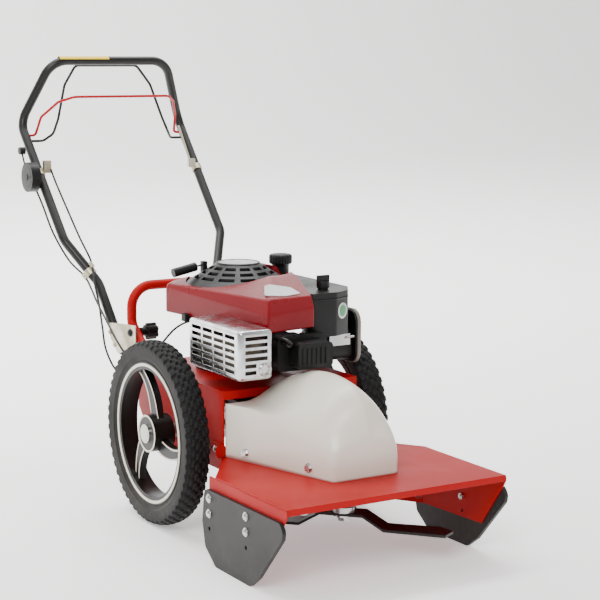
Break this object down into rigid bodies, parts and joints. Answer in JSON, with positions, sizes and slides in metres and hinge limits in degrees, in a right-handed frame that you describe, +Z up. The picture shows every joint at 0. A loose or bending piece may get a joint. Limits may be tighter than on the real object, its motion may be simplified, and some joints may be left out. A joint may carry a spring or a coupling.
{
  "type": "walk-behind brush mower",
  "caption": "Two-wheel walk-behind brush mower: flat red deck with skid plates, cream belt cowl, vertical-shaft engine, folding tube handle with control bails and a swinging blade bar.",
  "frame": {"origin": "on the ground, in the middle of the machine's width and length", "axes": "-Y forward over the deck, +Y back to the handlebar, +X to the left side of the machine, +Z up"},
  "size_m": [0.539, 1.3612, 0.9959],
  "materials": {
    "red_paint": "semi-gloss",
    "skid_grey": "satin",
    "bright_steel": "satin",
    "cowl_cream": "satin",
    "galvanised": "matt",
    "cast_aluminium": "satin",
    "bearing_steel": "satin",
    "bush_bronze": "matt",
    "engine_black": "satin black",
    "muffler_steel": "matt",
    "shroud_crimson": "gloss",
    "black_plastic": "matt",
    "badge_sheet": "satin",
    "black_rubber": "matt",
    "tyre_rubber": "matt",
    "wheel_black": "semi-gloss",
    "pulley_steel": "satin",
    "blade_black": "satin",
    "handle_paint": "semi-gloss",
    "bail_red": "gloss"
  },
  "bodies": {
    "machine": {"chassis_frame": "red_paint", "deck_plate": "red_paint", "deck_side_walls": "red_paint", "skid_right": "skid_grey", "skid_left": "skid_grey", "skid_bolts": "bright_steel", "belt_cowl": "cowl_cream", "frame_bolts": "bright_steel", "deck_brackets": "red_paint", "rear_deflector": "galvanised", "lifting_bow": "red_paint", "spindle_housing": "cast_aluminium", "spindle_bearings": "bearing_steel", "gearbox_case": "cast_aluminium", "axle_bushes": "bush_bronze", "engine_block": "engine_black", "head_cover": "engine_black", "muffler": "muffler_steel", "muffler_guard": "bright_steel", "engine_shroud": "shroud_crimson", "recoil_cover": "black_plastic", "badges": "badge_sheet", "fuel_tank": "black_plastic", "air_cleaner": "black_plastic", "carburettor": "bright_steel", "spark_lead": "black_rubber", "dipstick_tube": "black_plastic", "belts": "black_rubber", "idler_springs": "galvanised", "lower_cables": "black_rubber"},
    "wheel_right": {"tyre_right": "tyre_rubber", "rim_right": "wheel_black", "half_shaft_right": "bright_steel"},
    "wheel_left": {"tyre_left": "tyre_rubber", "rim_left": "wheel_black", "half_shaft_left": "bright_steel"},
    "crank": {"crankshaft": "bright_steel", "flywheel_fan": "cast_aluminium", "crank_pulley": "pulley_steel"},
    "cutter": {"spindle_shaft": "bright_steel", "spindle_pulley": "pulley_steel", "blade_bar": "blade_black", "blade_bolt": "bright_steel"},
    "gearbox_input": {"gearbox_pulley": "pulley_steel"},
    "blade_idler_arm": {"blade_idler": "galvanised"},
    "drive_idler_arm": {"drive_idler": "galvanised"},
    "handle": {"handlebar_tube": "handle_paint", "pivot_plates": "galvanised", "throttle_housing": "black_plastic", "upper_cables": "black_rubber", "handle_fittings": "bright_steel"},
    "black_bail": {"black_bail": "handle_paint"},
    "red_bail": {"red_bail": "bail_red"},
    "throttle_lever": {"throttle_lever": "black_plastic"},
    "clamp_knob_right": {"clamp_knob_right": "black_plastic"},
    "clamp_knob_left": {"clamp_knob_left": "black_plastic"},
    "fuel_cap": {"fuel_cap": "black_plastic"},
    "dipstick": {"dipstick": "black_plastic"},
    "starter_grip": {"starter_grip": "black_plastic"}
  },
  "joints": [
    {"name": "wheel_right_spin", "type": "hinge", "parent": "machine", "child": "wheel_right", "pos_m": [-0.222, -0.0778, 0.2], "axis": [1, 0, 0], "continuous": true},
    {"name": "wheel_left_spin", "type": "hinge", "parent": "machine", "child": "wheel_left", "pos_m": [0.222, -0.0778, 0.2], "axis": [1, 0, 0], "continuous": true},
    {"name": "crank_spin", "type": "hinge", "parent": "machine", "child": "crank", "pos_m": [0, -0.0388, 0.4], "axis": [0, 0, 1], "continuous": true},
    {"name": "blade_spin", "type": "hinge", "parent": "machine", "child": "cutter", "pos_m": [0, -0.4778, 0.15], "axis": [0, 0, 1], "continuous": true},
    {"name": "gearbox_spin", "type": "hinge", "parent": "machine", "child": "gearbox_input", "pos_m": [0, 0.0522, 0.25], "axis": [0, 0, 1], "continuous": true},
    {"name": "blade_idler_swing", "type": "hinge", "parent": "machine", "child": "blade_idler_arm", "pos_m": [0.12, -0.1178, 0.266], "axis": [0, 0, 1], "range_deg": [-7, 0]},
    {"name": "drive_idler_swing", "type": "hinge", "parent": "machine", "child": "drive_idler_arm", "pos_m": [-0.095, -0.0678, 0.259], "axis": [0, 0, 1], "range_deg": [-6, 0]},
    {"name": "handle_fold", "type": "hinge", "parent": "machine", "child": "handle", "pos_m": [0, 0.1542, 0.378], "axis": [1, 0, 0], "range_deg": [-12, 75]},
    {"name": "black_bail_swing", "type": "hinge", "parent": "handle", "child": "black_bail", "pos_m": [0, 0.6372, 0.78808], "axis": [1, 0, 0], "range_deg": [0, 4], "stiffness_Nm_per_rad": 0.6},
    {"name": "red_bail_swing", "type": "hinge", "parent": "handle", "child": "red_bail", "pos_m": [0, 0.6492, 0.80126], "axis": [1, 0, 0], "range_deg": [-30, 0], "stiffness_Nm_per_rad": 0.6},
    {"name": "throttle_swing", "type": "hinge", "parent": "handle", "child": "throttle_lever", "pos_m": [-0.21571, 0.5622, 0.70574], "axis": [1, 0, 0], "range_deg": [-60, 10]},
    {"name": "clamp_knob_right_turn", "type": "hinge", "parent": "machine", "child": "clamp_knob_right", "pos_m": [-0.15, 0.1542, 0.378], "axis": [1, 0, 0], "continuous": true},
    {"name": "clamp_knob_left_turn", "type": "hinge", "parent": "machine", "child": "clamp_knob_left", "pos_m": [0.15, 0.1542, 0.378], "axis": [1, 0, 0], "continuous": true},
    {"name": "fuel_cap_lift", "type": "slide", "parent": "machine", "child": "fuel_cap", "axis": [0, 0, 1], "range_m": [0, 0.04]},
    {"name": "dipstick_lift", "type": "slide", "parent": "machine", "child": "dipstick", "axis": [0, 0, 1], "range_m": [0, 0.12]},
    {"name": "starter_pull", "type": "slide", "parent": "machine", "child": "starter_grip", "axis": [-0.9812, 0, -0.1927], "range_m": [0, 0.5]}
  ],
  "couplings": [
    {"joint": "blade_spin", "follows": "crank_spin", "ratio": 0.72727},
    {"joint": "gearbox_spin", "follows": "crank_spin", "ratio": 0.62222},
    {"joint": "drive_idler_swing", "follows": "black_bail_swing", "ratio": -1.5},
    {"joint": "blade_idler_swing", "follows": "red_bail_swing", "ratio": 0.23333}
  ]
}
